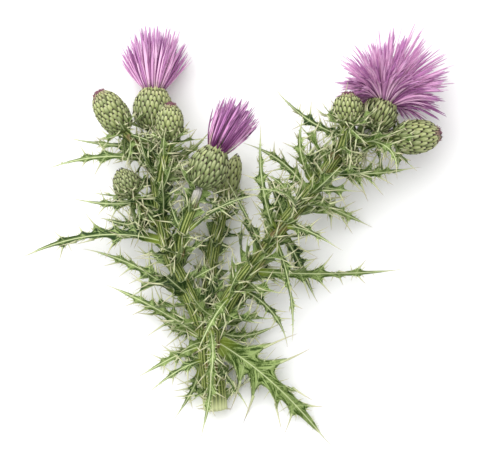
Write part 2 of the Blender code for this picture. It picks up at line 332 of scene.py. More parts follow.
def add_spines(growth, starts, directions, lengths, radii, rng, tint=0.0, bend=0.07, **marks):
    """Thin cones: a ring whose radius falls from its root to nothing at the point, along a bent line.

    A spine starts a little inside what bears it. Its spine mark rises from 0.2 at the root to 1 at the
    point, unless other marks are given.
    """
    count = len(starts)
    share = np.array([0, 0, 0.25, 0.5, 0.76, 1.0])[None, :, None, None]
    swell = np.array([0, 1, 0.74, 0.5, 0.27, 0.0])[None, :, None, None]
    lengths, radii = np.broadcast_to(lengths, count), np.broadcast_to(radii, count)
    directions = unit(directions)
    level, raised = across(directions)
    sideways = unit(rng.normal(size=(count, 3))) * bend
    angle = np.linspace(0, 2 * np.pi, 4, endpoint=False)[None, None, :, None]
    line = starts[:, None, None] + lengths[:, None, None, None] * (
        directions[:, None, None] * (share * 1.02 - 0.02) + sideways[:, None, None] * share**2
    )
    ring = level[:, None, None] * np.cos(angle) + raised[:, None, None] * np.sin(angle)
    points = line + ring * swell * radii[:, None, None, None]
    growth.add(points, **{"spine": 0.2 + 0.8 * share[..., 0], "along": share[..., 0], "tint": tint, **marks})


class Spines:
    """Groups of spines gathered one after another, to be grown all at once."""

    def __init__(self):
        self.groups = []

    def add(self, starts, directions, lengths, radii):
        """Takes a group. A length or a radius may be one number for all of it."""
        each = np.ones(len(starts))
        self.groups.append((starts, directions, lengths * each, radii * each))

    def grow(self, growth, rng, tint):
        """Adds every spine gathered so far."""
        add_spines(growth, *(np.concatenate(part) for part in zip(*self.groups)), rng, tint)


# Blades: the leaves, the small leaves on the stems, and the collars of the heads

# The columns of a blade's upper face, as shares of its half width, and how thick it is at each.
TOP = np.array([1, 0.86, 0.6, 0.32, 0.1, 0, -0.1, -0.32, -0.6, -0.86])
RIDGE = np.array([0, 0.5, 0.8, 0.9, 1.0, 1.9, 1.0, 0.9, 0.8, 0.5])


class Blade:
    """A lobed, spiny blade about a midrib.

    Where a point lies: along the midrib to its share t, then out by s times the half width there. The half
    width is a waist that narrows to the tip plus one sharp peak for each lobe. Points sweep forward and
    lift as they go out, so the lobes lean to the tip and fold up or down, each by its own amount.
    """

    SWEEP = 0.5  # how far forward the margin lies, as a share of the way out
    SHARP = 2.1  # the power that makes a lobe's sides hollow
    PRONGS = ((-0.6, 0.75), (0.5, 0.5), (-0.3, 0.4))  # where beside a lobe's point, and how long

    def __init__(self, midrib, side, waist, centres, reaches, rng, fold, thickness=0.35):
        self.midrib, self.side, self.waist, self.rng = midrib, side, waist, rng
        self.fold, self.thickness = fold, thickness
        count = len(centres)
        spacing = (centres[-1] - centres[0]) / (count - 1) if count > 1 else 0.4
        self.centres = np.stack([centres, centres]) + rng.uniform(-0.12, 0.12, (2, count)) * spacing
        self.reaches = np.stack([reaches, reaches]) * rng.uniform(0.8, 1.15, (2, count))
        self.lifts = rng.uniform(-0.7, 0.8, (2, count))
        self.spread = spacing * rng.uniform(0.42, 0.56, (2, count))
        self.spacing = spacing

    def width(self, t, hand):
        """The half width on one hand, the lobes' part of it, how much they lift, and 1 at each peak."""
        nearness = 1 - np.abs(t[..., None] - self.centres[hand]) / self.spread[hand]
        peaks = np.clip(nearness, 0, 1) ** self.SHARP
        waist = self.waist * np.clip(1 - t, 0, 1) ** 0.7 * np.clip(0.8 + 2.0 * t, 0.6, 1) + 0.12
        lobes = (peaks * np.maximum(self.reaches[hand] - waist[..., None], 0)).max(axis=-1)
        lift = (np.clip(nearness + 0.35, 0, 1) * self.lifts[hand]).sum(axis=-1)
        return waist + lobes, lobes, lift, peaks.max(axis=-1)

    def place(self, t, s):
        """The middle surface at shares t of the midrib and s of the half width, with the blade's normal,
        the way out from the midrib and the way along it."""
        hand = (s < 0)[..., None]
        left, right = self.width(t, 0), self.width(t, 1)
        wide, lobes, lift = (np.where(s < 0, r, l) for l, r in zip(left[:3], right[:3]))
        centre, side = self.midrib(t), unit(self.side(t))
        along = unit(self.midrib(t + 0.01) - self.midrib(t - 0.01))
        side = unit(side - along * (side * along).sum(axis=-1, keepdims=True))
        normal = np.cross(along, side)
        out = np.abs(s) * wide
        angle = (self.fold + lift * np.abs(s))[..., None]
        sideways = np.where(hand, -side, side)
        return (
            centre
            + sideways * out[..., None] * np.cos(angle)
            + normal * out[..., None] * np.sin(angle)
            + along * (self.SWEEP * np.abs(s) * (lobes + 0.3 * wide))[..., None]
        ), normal, out, along

    def grow(self, growth, rows_per_lobe, tint, spine_least, spine_share, margin_spines, start, prongs=3):
        """Adds the two faces as one closed grid from a share of the midrib to its tip, then the long spines
        of the lobes, some prongs beside each, the short spines of the margin and the spine of the tip. A
        lobe's spine is at least so long, and longer by a share of the lobe's reach."""
        rng = self.rng
        rows = max(12, int(rows_per_lobe * 0.9 / self.spacing))
        t = np.linspace(start, 1.0, rows)
        s = np.concatenate([TOP, -TOP])
        face = np.repeat([1.0, -1.0], len(TOP))
        ridge = np.concatenate([RIDGE, RIDGE[:1], RIDGE[:0:-1]])
        grid_t, grid_s = np.broadcast_arrays(t[:, None], s[None])
        middle, normal, out, _ = self.place(grid_t, grid_s)
        thickness = self.thickness * (1.15 - 0.75 * np.clip(grid_t, 0, 1))[..., None]
        points = middle + normal * thickness / 2 * (face * ridge)[None, :, None]
        vein = np.where(grid_s < 0, self.width(grid_t, 1)[3], self.width(grid_t, 0)[3])
        growth.add(
            points[None],
            across=out,
            edge=np.abs(grid_s),
            vein=vein,
            along=grid_t,
            tint=tint,
            # the under faces are marked for painted shade
            under=(face < 0)[None] * 0.3,
            spine=np.clip((grid_t - 0.9) * 6, 0, 0.6) + 0.45 * np.clip(vein * np.abs(grid_s) - 0.75, 0, 1),
        )
        spines = Spines()

        def bear(where, sign, lean, wild, long, thick, root=1.0):
            """Spines on the margin: out along the blade, leaning forward, each a little astray. A root
            below 1 starts them inside the blade, so that a lobe draws out into its spine."""
            ones = np.full(len(where), sign)
            edge, normal, _, along = self.place(where, ones)
            inner, starts = (self.place(where, share * ones)[0] for share in (0.5, root))
            stray = wild * rng.normal(size=(len(where), 2))
            directions = unit(edge - inner) + (lean + stray[:, :1]) * along + stray[:, 1:] * normal
            spines.add(starts, directions, long + np.linalg.norm(edge - starts, axis=1), thick)

        for hand, sign in ((0, 1.0), (1, -1.0)):
            centres, reach = self.centres[hand], self.reaches[hand]
            count = len(centres)
            long = spine_least + reach * spine_share
            bear(centres, sign, 0.1, 0.08, long * rng.uniform(0.8, 1.3, count), 0.36 + 0.02 * reach, 0.7)
            for offset, share in self.PRONGS[:prongs]:
                here = centres + offset * self.spread[hand]
                shorter = long * share * rng.uniform(0.4, 1.2, count)
                bear(here, sign, 0.2 + 0.7 * offset, 0.2, shorter, 0.26, 0.85)
            where = rng.uniform(0.02, 0.95, margin_spines)
            bear(where, sign, 0.4, 0.2, rng.uniform(0.6, 1.8, margin_spines), 0.14)
        tip = self.midrib(np.array([0.97, 1.0]))
        spines.add(tip[:1], tip[1:] - tip[:1], 0.8 + spine_least + spine_share * self.reaches.max(), 0.3)
        spines.grow(growth, rng, tint)


def packed_leaf(node, settings, rng):
    """A blade over a packed leaf: its midrib and the tilt of its faces are smooth curves through the packed
    rows, run back a little way so that the leaf starts inside its stem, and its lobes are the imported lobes.
    """
    rows = blade_rows(node)
    length = np.r_[0, np.cumsum(np.linalg.norm(np.diff(rows[:, 1], axis=0), axis=1))]
    share = length / length[-1]
    lobes = np.arange(2, len(rows) - 2, 2)
    reach = np.linalg.norm(rows[lobes, 0] - rows[lobes, 2], axis=1) / 2
    midrib = polynomial(share, rows[:, 1], 3)
    side = polynomial(share, unit(rows[:, 0] - rows[:, 2]), 1)
    waist = np.linalg.norm(rows[1, 0] - rows[1, 2]) / 2 * settings.waist
    reach = reach * settings.lobe_reach * (1.22 - 0.5 * share[lobes])
    blade = Blade(midrib, side, waist, share[lobes], reach, rng, settings.fold)
    return blade, length[-1]


def sprig(growth, base, direction, facing, length, reach, rng, tint, spine_least=2.6, spine_share=0.8):
    """A small spiny leaf from a base point, with two pairs of lobes: its midrib is a quadratic curve that
    leaves along a direction and bends a little towards or away from the way it faces."""
    direction, facing = unit(direction), unit(facing)
    bend = rng.uniform(-0.25, 0.45)
    corners = np.stack([base, base + direction * length, facing * length * bend])

    def midrib(t):
        t = np.asarray(t)[..., None]
        return corners[0] * (1 - t) + corners[1] * t + corners[2] * t**2

    side = unit(np.cross(facing, direction) + 0.3 * rng.normal(size=3))
    centres = np.array([0.22, 0.66])
    reaches = reach * (1 - 0.6 * np.abs(centres - 0.35))
    blade = Blade(
        midrib, lambda t: np.broadcast_to(side, np.shape(t) + (3,)), 0.48 * reach, centres, reaches, rng,
        fold=0.45, thickness=0.28,
    )
    blade.grow(growth, 10, tint, spine_least, spine_share, 1, -0.02, prongs=0)


# Stems


def grow_stem(growth, node, before, after, settings, rng, ribs, cut=False, wool=0.0):
    """A ribbed tube: the radius at each angle is the stem's radius with a rounded ridge at each rib. A cut
    end is closed by a flat disc with frayed fibres round it, and other ends close inside what they grow
    from. The height mark falls off from the cut, and the under mark rises to the wool's share at the upper
    end. It gives back the stem's route for what grows on it."""
    centres, radii, travelled = route_of(node, before, after)
    along = unit(np.gradient(centres, axis=0))
    level, raised = across(along)
    angles = np.linspace(0, 2 * np.pi, ribs * 4, endpoint=False)
    wave = np.cos(ribs * angles)
    shape = 1 + settings.rib_depth * wave + 0.015 * np.sin(3 * angles + 1)
    ring = level[:, None] * np.cos(angles)[None, :, None] + raised[:, None] * np.sin(angles)[None, :, None]
    points = centres[:, None] + ring * (radii[:, None] * shape)[..., None]
    height, under = cut * np.exp(-travelled / 5.0), wool * np.exp((travelled - travelled[-1]) / 6.0)
    if cut:
        inner = np.stack([centres[0] + ring[0] * (radii[0] * shape * k)[:, None] for k in (0.0, 0.55, 0.9)])
        points = np.concatenate([inner, points])
        height, under = np.r_[1, 1, 1, height], np.r_[0, 0, 0, under]
    growth.add(points[None], vein=0.5 + 0.5 * wave, height=height[:, None], under=under[:, None], flush=1.0)
    if cut:
        count = 60
        angle = rng.uniform(0, 2 * np.pi, count)
        rim = level[0] * np.cos(angle)[:, None] + raised[0] * np.sin(angle)[:, None]
        starts = centres[0] + rim * radii[0] * rng.uniform(0.75, 1.0, (count, 1)) + along[0] * 0.6
        add_spines(growth, starts, 0.12 * rim - along[0], rng.uniform(1.0, 3.4, count), 0.3, rng, bend=0.15)
    return centres, radii, travelled


def grow_wing(growth, centres, radii, travelled, angle, twist, spacing, reach, spine, rng, tint):
    """One spiny wing along a stem: a thin fin whose height is a waist with a sharp peak at each tooth,
    carried along a line on the stem that winds slowly round it. Each tooth ends in a long spine with a
    shorter one behind it, and very short ones stand between. Spines that point up from the table are
    shorter."""
    total = travelled[-1]
    count = max(2, int(total / spacing))
    teeth = (np.arange(count) + rng.uniform(0.25, 0.75, count)) * total / count
    reaches = reach * rng.uniform(0.6, 1.3, count)
    leans = rng.uniform(-0.6, 0.6, count)
    rows = np.linspace(0, total, count * 10)

    def centre_at(where):
        """The stem's centre at distances along it."""
        return np.stack([np.interp(where, travelled, centres[:, k]) for k in range(3)], axis=-1)

    def place(where, s):
        """The fin's middle surface at distances along the stem and shares s of its height."""
        along = unit(centre_at(where + 1) - centre_at(where - 1))
        level, raised = across(along)
        nearness = 1 - np.abs(where[..., None] - teeth) / (0.42 * spacing)
        peaks = np.clip(nearness, 0, 1) ** 1.5
        lobe = (peaks * reaches).max(axis=-1)
        lean = (np.clip(nearness + 0.3, 0, 1) * leans).sum(axis=-1)
        turn = angle + twist * where / total + lean * s * 0.5
        outward = level * np.cos(turn)[..., None] + raised * np.sin(turn)[..., None]
        high = np.interp(where, travelled, radii) * 0.86 + s * (0.8 + lobe)
        points = centre_at(where) + outward * high[..., None] + along * (0.55 * s * lobe)[..., None]
        return points, outward, along, peaks.max(-1)

    s = np.array([0, 0.3, 0.6, 0.85, 1, 0.85, 0.6, 0.3])
    face = np.array([0, 1, 1, 1, 0, -1, -1, -1.0])
    where, share = np.broadcast_arrays(rows[:, None], s[None])
    middle, outward, along, peak = place(where, share)
    points = middle + np.cross(outward, along) * (face * (0.42 - 0.26 * s))[None, :, None]
    growth.add(
        points[None], across=share * 2.5, edge=share, vein=peak, along=where / 12, tint=tint,
        # the under mark is painted shade on a wing, deepest where it meets the stem
        spine=0.4 * np.clip(peak * share - 0.7, 0, 1), under=0.6 * (1 - share),
    )
    spines = Spines()

    def bear(here, lean, stray, size, least, most, thick):
        """Spines on the wing's margin, leaning forward, each a little astray."""
        tips, outward, along, _ = place(here, np.ones(len(here)))
        directions = unit(outward + lean * along + stray * rng.normal(size=(len(here), 3)))
        lengths = size * rng.uniform(least, most, len(here))
        spines.add(tips, directions, lengths * (1 - 0.5 * np.clip(directions @ UP, 0, 1)), thick)

    bear(teeth, 0.8, 0.14, spine, 0.6, 1.45, 0.34)
    bear(np.clip(teeth - 0.17 * spacing, 0, total), 0.16, 0.25, spine, 0.2, 0.6, 0.2)
    bear(rng.uniform(0, total, max(1, count // 3)), 0.5, 0.3, 1.0, 0.6, 1.8, 0.12)
    spines.grow(growth, rng, tint)


# Cups and buds


class Shell:
    """The turned surface of a cup or a bud: its height and radius at a distance up its side. It is drawn in
    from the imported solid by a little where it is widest, and by the neck's share at its upper end."""

    def __init__(self, base, axis, heights, radii, drawn_in, neck, closing):
        keep = radii > 0.05
        heights, radii = heights[keep], radii[keep] - drawn_in * (radii[keep] / radii.max()) ** 2
        radii = radii * (1 - neck * (heights / heights[-1]) ** 3)
        smooth = through(np.column_stack([heights, radii]), np.linspace(0, len(heights) - 1, 60))
        self.base, self.axis, self.closing = base, axis, closing
        self.level, self.raised = across(axis)
        self.walked = np.r_[0, np.cumsum(np.linalg.norm(np.diff(smooth, axis=0), axis=1))]
        self.heights, self.radii = smooth.T
        self.slope = unit(np.gradient(smooth, axis=0))

    def place(self, walked, angle, out):
        """A point at a distance up the side, at an angle round the axis and raised by out. Past the top it
        goes straight on: over the mouth by the closing share c, and up by the root of 1 - c squared."""
        total = self.walked[-1]
        past = np.maximum(walked - total, 0)
        radius = np.interp(walked, self.walked, self.radii)
        height = np.interp(walked, self.walked, self.heights)
        rise_r = np.interp(walked, self.walked, self.slope[:, 1])
        rise_h = np.interp(walked, self.walked, self.slope[:, 0])
        radius = np.maximum(radius + out * rise_h + past * rise_r * self.closing, 0.1)
        height = height - out * rise_r + past * math.sqrt(1 - self.closing**2)
        outward = self.level * np.cos(angle)[..., None] + self.raised * np.sin(angle)[..., None]
        return self.base + self.axis * height[..., None] + outward * radius[..., None]


def grow_scales(growth, shell, length, width, spread, rng, top, tint, flush, mouth):
    """Overlapping scales in staggered rings up to the top share of the side. A scale is a small leaf-shaped
    plate: its half width keeps up past the middle and narrows to a fine point, its keel is raised, and its
    point stands off by the spread. Those at the mouth are longer by the given share. The flush mark comes
    in over the upper scales, above 0 for purple and below 0 for cream."""
    total = shell.walked[-1]
    rows = max(4, int(round(total / (0.42 * length))))
    round_count = int(round(2 * np.pi * shell.radii.max() / (0.86 * width)))
    count = rows * round_count
    row, column = np.divmod(np.arange(count), round_count)
    start = (row + 0.12 * rng.normal(size=count)) / rows * total * top - 0.12 * length
    angle = (column + 0.5 * (row % 2) + 0.09 * rng.normal(size=count)) * 2 * np.pi / round_count
    fits = np.clip(np.interp(start + 0.4 * length, shell.walked, shell.radii) / shell.radii.max(), 0.3, 1)
    size = rng.uniform(0.9, 1.12, count)
    u = np.array([0, 0.06, 0.35, 0.6, 0.76, 0.87, 0.94, 1.0])
    half = 0.5 * width * np.array([0.6, 0.85, 1.0, 0.92, 0.64, 0.4, 0.28, 0.06])
    lift = np.array([-0.4, -0.15, 0.1, 0.2, 0.24, 0.28, 0.34, 0.34]) + spread * u**3
    s = np.array([1, 0.5, 0, -0.5, -1, -0.5, 0, 0.5])
    keel = np.array([0, 0.16, 0.36, 0.16, 0, -0.16, -0.16, -0.16])
    size, angle, start, fits = (a[:, None, None] for a in (size, angle, start, fits))
    walked = start + size * length * u[None, :, None] * (1 + mouth * np.clip(start / total / 0.3 - 2, 0, 1))
    slim = np.where(u > 0.9, 0.4, 1.0)[None, :, None]
    out = lift[None, :, None] + keel[None, None] * slim
    walked, s_grid, out = np.broadcast_arrays(walked, s[None, None], out)
    radius = np.interp(walked, shell.walked, shell.radii)
    turn = angle + s_grid * half[None, :, None] * fits * size / np.maximum(radius, 0.8)
    share = np.clip(start / total, 0, 1)
    flushed = 0.62 if flush > 0 else 0.45
    growth.add(
        shell.place(np.clip(walked, 0, None), turn, out),
        edge=np.abs(s_grid),
        along=u[None, :, None],
        # the height mark also darkens the lower scales of a cup or bud as painted shade
        height=share,
        tint=rng.uniform(-1.0, 1.0, (count, 1, 1)) + tint,
        spine=np.clip((u - 0.80) / 0.14, 0, 1)[None, :, None],
        # the under face of a scale is marked for painted shade
        under=(keel < 0)[None, None] * 1.0,
        flush=flush * np.clip((share - flushed) / 0.3, 0, 1) * rng.uniform(0.4, 1.3, (count, 1, 1)),
    )


def grow_fringe(growth, shell, count, length, rng):
    """Short flushed points that stand in the mouth of a bud: thin cones on the core's dome, which lean out
    from its axis."""
    angle = rng.uniform(0, 2 * np.pi, count)
    radius = shell.radii[-1] * np.sqrt(rng.uniform(0, 1, count))
    outward = shell.level * np.cos(angle)[:, None] + shell.raised * np.sin(angle)[:, None]
    rise = 0.45 * np.sqrt(np.maximum(shell.radii[-1] ** 2 - radius**2, 0)) - 0.6
    starts = shell.base + shell.axis * (shell.heights[-1] + rise)[:, None] + outward * radius[:, None]
    leaning = outward * (0.35 * radius / shell.radii[-1])[:, None]
    directions = shell.axis + leaning + 0.12 * rng.normal(size=(count, 3))
    lengths = length * rng.uniform(0.4, 1.0, count)
    add_spines(growth, starts, directions, lengths, 0.34, rng, spine=0.0, along=1.0, flush=1.2)


def grow_core(growth, shell, flush):
    """The body under the scales: the turned surface drawn in a little, with a low dome over the mouth. The
    dome takes the flush. Below the dome the under mark is 1, so the body is painted in the gap green as
    painted shade between the scales."""
    walked = np.linspace(0, shell.walked[-1], 24)
    angles = np.linspace(0, 2 * np.pi, 24, endpoint=False)
    grid_w, grid_a = np.broadcast_arrays(walked[:, None], angles[None])
    points = shell.place(grid_w, grid_a, np.full(grid_w.shape, -0.35))
    foot = points[:1].mean(axis=1, keepdims=True).repeat(24, axis=1)
    middle = points[-1].mean(axis=0)
    rise = np.radians([30, 60, 90])[:, None, None]
    dome = middle + (points[-1] - middle) * np.cos(rise) + shell.axis * 0.5 * shell.radii[-1] * np.sin(rise)
    points = np.concatenate([foot, points, dome])
    domed = np.r_[np.zeros(25), np.ones(3)][None, :, None] * (flush > 0)
    growth.add(points[None], under=1 - domed, edge=1.0, flush=1.2 * domed)


def grow_collar(growth, shell, count, length, reach, rng, tint):
    """Narrow spiny leaves that stand round the base of a cup or bud and lean out from it."""
    for k in range(count):
        angle = np.array((k + rng.uniform(-0.3, 0.3)) * 2 * np.pi / count)
        base = shell.place(np.array(0.0), angle, np.array(-0.6))
        outward = shell.level * np.cos(angle) + shell.raised * np.sin(angle)
        direction = unit(shell.axis * rng.uniform(-0.1, 0.6) + outward * rng.uniform(0.8, 1.1))
        facing = unit(shell.axis - direction * (shell.axis @ direction)) + 0.3 * UP
        long = length * rng.uniform(0.65, 1.25)
        if (base + direction * long)[2] < CLEARANCE:
            continue
        sprig(growth, base, direction, facing, long, reach, rng, tint + rng.uniform(-0.8, 0.8), 0.8, 0.6)


# Florets


def grow_florets(growth, node, bearer, settings, count, rng, sweep, tint, curl, length, tilt, skew, together):
    """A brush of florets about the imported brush's axis, turned by a tilt. Each is a flat ribbon that rises
    from the mouth of the cup, bends out and narrows to a point, with finer threads parting from it near the
    end.

    The florets start all over the mouth in the even spiral of a sunflower, and the further out one starts
    the more it leans, up to the sweep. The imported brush's outline gives the reach in each direction, times
    the length. The skew makes one side longer. The line is a quadratic curve that goes straight up a little
    way before it parts from the others, with a last part that curls back to the axis.
    """
    near = welded(bearer)[0].mean(axis=0)
    base, axis, heights, radii = turned_rings(node, near)
    level, raised = across(axis)
    mouth = radii[0]
    widest = radii.argmax()
    radii, heights = radii[widest:], heights[widest:]
    outline, reach = np.arctan2(radii, heights), np.hypot(radii, heights)
    order = np.argsort(outline)
    number = np.arange(count)
    rank = np.sqrt((number + 0.5) / count)
    turn = number * np.pi * (3 - np.sqrt(5)) + rng.normal(size=count) * 0.15
    lean = sweep * rank**0.9 * rng.uniform(0.9, 1.08, count) + rng.normal(size=count) * 0.03
    outward = level * np.cos(turn)[:, None] + raised * np.sin(turn)[:, None]
    lean = lean * (1 - 0.3 * np.clip(outward @ UP, 0, 1))
    far = np.interp(np.clip(lean, 0, None), outline[order], reach[order]) * rng.uniform(0.76, 1.1, count)
    far = far * length * (1 - 0.16 * np.clip(lean / 1.6, 0, 1) ** 2)
    far = far * (1 + skew * (outward @ level))
    foot = base + axis * together
    starts = base - axis * 2.5 + outward * (mouth * 0.74 * rank)[:, None]
    axis = unit(axis + level * tilt)
    outward = unit(outward - axis * (outward @ axis)[:, None])
    ends = foot + axis * (far * np.cos(lean))[:, None] + outward * (far * np.sin(lean))[:, None]
    upward = axis * (together + far * 0.45 * np.cos(0.75 * lean))[:, None]
    bends = starts + upward + outward * (far * 0.3 * np.sin(lean))[:, None]
    sway = unit(rng.normal(size=(count, 3))) * rng.uniform(0.2, 1.1, (count, 1))
    # each floret's own colour, less a painted shade on those that lean furthest out
    hue = rng.uniform(-1.25, 1.1, count) + tint - 0.9 * np.clip(lean - 1.1, 0, 1)
    pull = axis * (curl * np.sin(lean) * far)[:, None]

    def line(t):
        """The florets' middle lines at shares t of their length."""
        t = np.asarray(t, float)[..., None]
        late = np.clip(t - 0.45, 0, None) ** 2
        return (
            starts[:, None] * (1 - t) ** 2 + 2 * bends[:, None] * t * (1 - t) + ends[:, None] * t**2
            + sway[:, None] * np.sin(np.pi * t) + pull[:, None] * late + sway[:, None] * late * 4
        )

    def strand(t, wide, flat, sides, offset=0.0, spine=0.0):
        """A flattened ring carried along each line. The edge mark says how far out the floret starts, less 1
        in a narrow brush, and the spine mark is 1 on the threads. The across mark is 1 at the ribbon's edges,
        where the paint lays painted shade, and 0 down its faces, where it lays a painted highlight."""
        centre = line(t) + offset
        along = unit(line(t + 0.01) - line(t - 0.01))
        broad = unit(np.cross(along, outward[:, None] + 0.3 * sway[:, None]))
        thin = np.cross(along, broad)
        angle = np.linspace(0, 2 * np.pi, sides, endpoint=False)[None, None, :, None]
        points = centre[:, :, None] + (
            broad[:, :, None] * np.cos(angle) + flat * thin[:, :, None] * np.sin(angle)
        ) * wide[:, :, None, None]
        growth.add(
            points,
            along=t[:, :, None],
            tint=hue[:, None, None],
            edge=(rank - (sweep < NARROW))[:, None, None],
            across=np.abs(np.cos(angle[..., 0])),
            spine=spine,
        )

    half = settings.floret_width * MM / 2
    ones = np.ones((count, 1))
    t = np.array([0, 0.001, 0.15, 0.4, 0.62, 0.78, 0.9, 0.97, 1.0]) * ones
    ribbon = half * np.array([0, 0.65, 0.7, 0.9, 1.05, 1.0, 0.75, 0.45, 0.0])
    strand(t, ribbon * rng.uniform(0.55, 1.2, (count, 1)), 0.6, 6)
    for k in range(settings.thread_count):
        split = rng.uniform(0.5, 0.66, (count, 1))
        share = np.array([0, 0.02, 0.35, 0.7, 1.0])
        t = split + (rng.uniform(0.86, 1.06, (count, 1)) - split) * share
        angle = 2 * np.pi * k / settings.thread_count + rng.uniform(0, 1.5, (count, 1))
        along = unit(line(t + 0.01) - line(t - 0.01))
        one, two = across(along)
        splay = settings.splay * MM * share**1.3 * rng.uniform(0.4, 1.4, (count, 1))
        offset = (one * np.cos(angle)[..., None] + two * np.sin(angle)[..., None]) * splay[..., None]
        strand(t, half * np.array([0, 0.5, 0.5, 0.34, 0.0]) * ones, 0.8, 4, offset, spine=1.0)


# Materials


class Value:
    """A shader socket that takes part in sums: each operator adds one Math node."""

    def __init__(self, paint, socket):
        self.paint, self.socket = paint, socket

    def _sum(self, operation, a, b):
        return self.paint.node("ShaderNodeMath", {"operation": operation}, a, b)

    def __add__(self, other):
        return self._sum("ADD", self, other)

    def __radd__(self, other):
        return self._sum("ADD", other, self)

    def __sub__(self, other):
        return self._sum("SUBTRACT", self, other)

    def __rsub__(self, other):
        return self._sum("SUBTRACT", other, self)

    def __mul__(self, other):
        return self._sum("MULTIPLY", self, other)

    def __rmul__(self, other):
        return self._sum("MULTIPLY", other, self)


class Paint:
    """One material and the nodes that paint it."""

    def __init__(self, name, roughness, specular):
        self.material = bpy.data.materials.new(name)
        self.material.use_nodes = True
        self.tree = self.material.node_tree
        self.shader = self.tree.nodes["Principled BSDF"]
        self.shader.inputs["Roughness"].default_value = roughness
        self.shader.inputs["Specular IOR Level"].default_value = specular
        self.places = Value(self, self.tree.nodes.new("ShaderNodeTexCoord").outputs["Object"])

    def node(self, kind, settings, *inputs, output=0):
        """Adds a node, applies its settings, then sets or links its inputs in order. None leaves one as it
        is."""
        made = self.tree.nodes.new(kind)
        for name, value in settings.items():
            setattr(made, name, value)
        for socket, value in zip(made.inputs, inputs):
            if isinstance(value, Value):
                self.tree.links.new(value.socket, socket)
            elif value is not None:
                socket.default_value = value
        return Value(self, made.outputs[output])

    def mark(self, name):
        """A number that the mesh carries."""
        return self.node("ShaderNodeAttribute", {"attribute_name": name}, output=2)

    def noise(self, scale, detail, where=None):
        """Noise at so many grains a metre on the object's own places, or on other places."""
        return self.node("ShaderNodeTexNoise", {}, where or self.places, None, scale, detail, 0.6)

    def rise(self, value, low, high):
        """Goes smoothly from 0 at low to 1 at high, and falls where high is the lower number."""
        smooth = {"interpolation_type": "SMOOTHSTEP"}
        return self.node("ShaderNodeMapRange", smooth, value, low, high, 0.0, 1.0)

    def mix(self, share, a, b):
        """The colour a where the share is 0 and b where it is 1."""
        made = self.tree.nodes.new("ShaderNodeMix")
        made.data_type = "RGBA"
        for socket, value in ((made.inputs["Factor"], share), (made.inputs[6], a), (made.inputs[7], b)):
            if isinstance(value, Value):
                self.tree.links.new(value.socket, socket)
            elif isinstance(value, (int, float)):
                socket.default_value = value
            else:
                socket.default_value = (*value[:3], 1.0)
        return Value(self, made.outputs[2])

    def lay(self, colour, over, value, low, high, most=1.0):
        """Lays another colour over a colour where a value rises from low to high, at most by a share."""
        return self.mix(self.rise(value, low, high) * most, colour, over)

    def finish(self, colour, roughness=None, bump=None, strength=0.3):
        """Links the colour, and where they are given the roughness and a fifth of a millimetre of relief."""
        self.tree.links.new(colour.socket, self.shader.inputs["Base Color"])
        if roughness is not None:
            self.tree.links.new(roughness.socket, self.shader.inputs["Roughness"])
        if bump is not None:
            relief = self.node("ShaderNodeBump", {}, strength, 0.0002, None, bump)
            self.tree.links.new(relief.socket, self.shader.inputs["Normal"])
        return self.material


def blade_colour(paint, leaf, patches, fine):
    """Leaf green: deep in the hollows, sage beside the veins, sap green where it joins, with a pale midrib,
    side veins and margin, and straw spines with a rosy brown point. The deep green is also laid on as
    painted shade where the under mark rises: on the under faces of blades and on a wing where it meets its
    stem. Beside the midrib the pale green is partly the leaf's own and partly a painted sheen. Also gives
    how much a place is midrib."""
    across_mm, edge, vein, spine = (paint.mark(n) for n in ("across", "edge", "vein", "spine"))
    tint, under, along = (paint.mark(n) for n in ("tint", "under", "along"))
    deep = paint.lay(leaf.leaf_blue, leaf.leaf_warm, tint, -1.0, 1.0)
    outwards = paint.node("ShaderNodeCombineXYZ", {}, along * 46 - edge * 7, edge * 1.8, tint * 9)
    streaks = paint.noise(1.0, 3.0, outwards)
    lightness = patches * 0.45 + streaks + vein * 0.12 + (fine - 0.5) * 0.3 + tint * 0.05
    colour = paint.lay(deep, leaf.leaf_pale, lightness, 0.70, 0.91)
    # pale green beside the midrib: partly the leaf's own colour, partly a painted sheen
    colour = paint.lay(colour, leaf.leaf_pale, across_mm, 1.2, 0.3, 0.3)
    colour = paint.lay(colour, leaf.leaf_sap, along, 0.12, -0.02, 0.55)
    # painted shade: the deep green laid over under faces and wing roots
    colour = paint.mix(under * 0.75, colour, deep)
    rib = paint.rise(across_mm, 0.32, 0.12)
    colour = paint.lay(colour, leaf.vein_cream, edge, 0.86, 0.99, 0.65)
    colour = paint.lay(colour, leaf.vein_cream, vein, 0.84, 0.97, 0.35)
    colour = paint.mix(rib * 0.8, colour, leaf.vein_cream)
    colour = paint.lay(colour, leaf.spine_straw, spine, 0.14, 0.62, 0.9)
    colour = paint.lay(colour, leaf.spine_point, spine, 0.66, 1.0, 0.8)
    return colour, rib


def leaf_paint(leaf):
    """Leaf green all over, a little shinier in the hollows."""
    paint = Paint("thistle_leaf", 0.5, 0.15)
    patches, fine = paint.noise(330, 4.0), paint.noise(1500, 3.0)
    colour, rib = blade_colour(paint, leaf, patches, fine)
    return paint.finish(colour, paint.rise(patches, 0.2, 0.8) * 0.15 + 0.42, fine + rib * 0.6, 0.35)


